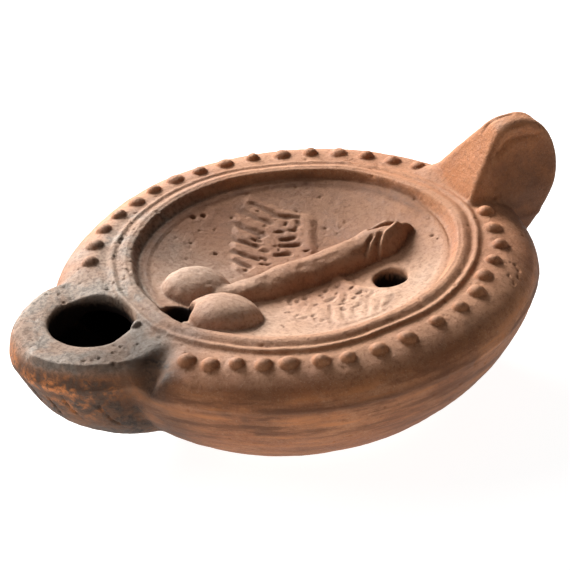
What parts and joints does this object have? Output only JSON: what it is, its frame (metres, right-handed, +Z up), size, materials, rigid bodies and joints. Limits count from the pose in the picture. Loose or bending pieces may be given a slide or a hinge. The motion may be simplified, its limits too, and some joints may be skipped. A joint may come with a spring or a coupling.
{
  "type": "roman oil lamp",
  "caption": "Mould-made round clay oil lamp with a sunken relief disc, beaded shoulder, short round nozzle and solid fin handle.",
  "frame": {"origin": "on the underside, at the middle of the lamp's bounding box", "axes": "-Y towards the nozzle, +Y towards the handle, +Z up, +X to the right with the nozzle in front"},
  "size_m": [0.0818, 0.1013, 0.0373],
  "materials": {
    "fired_clay": "unglazed reddish-buff fired clay, matt, with grey-black soot round the nozzle and wick hole"
  },
  "bodies": {
    "root": {"lamp_body": "fired_clay"}
  },
  "joints": []
}
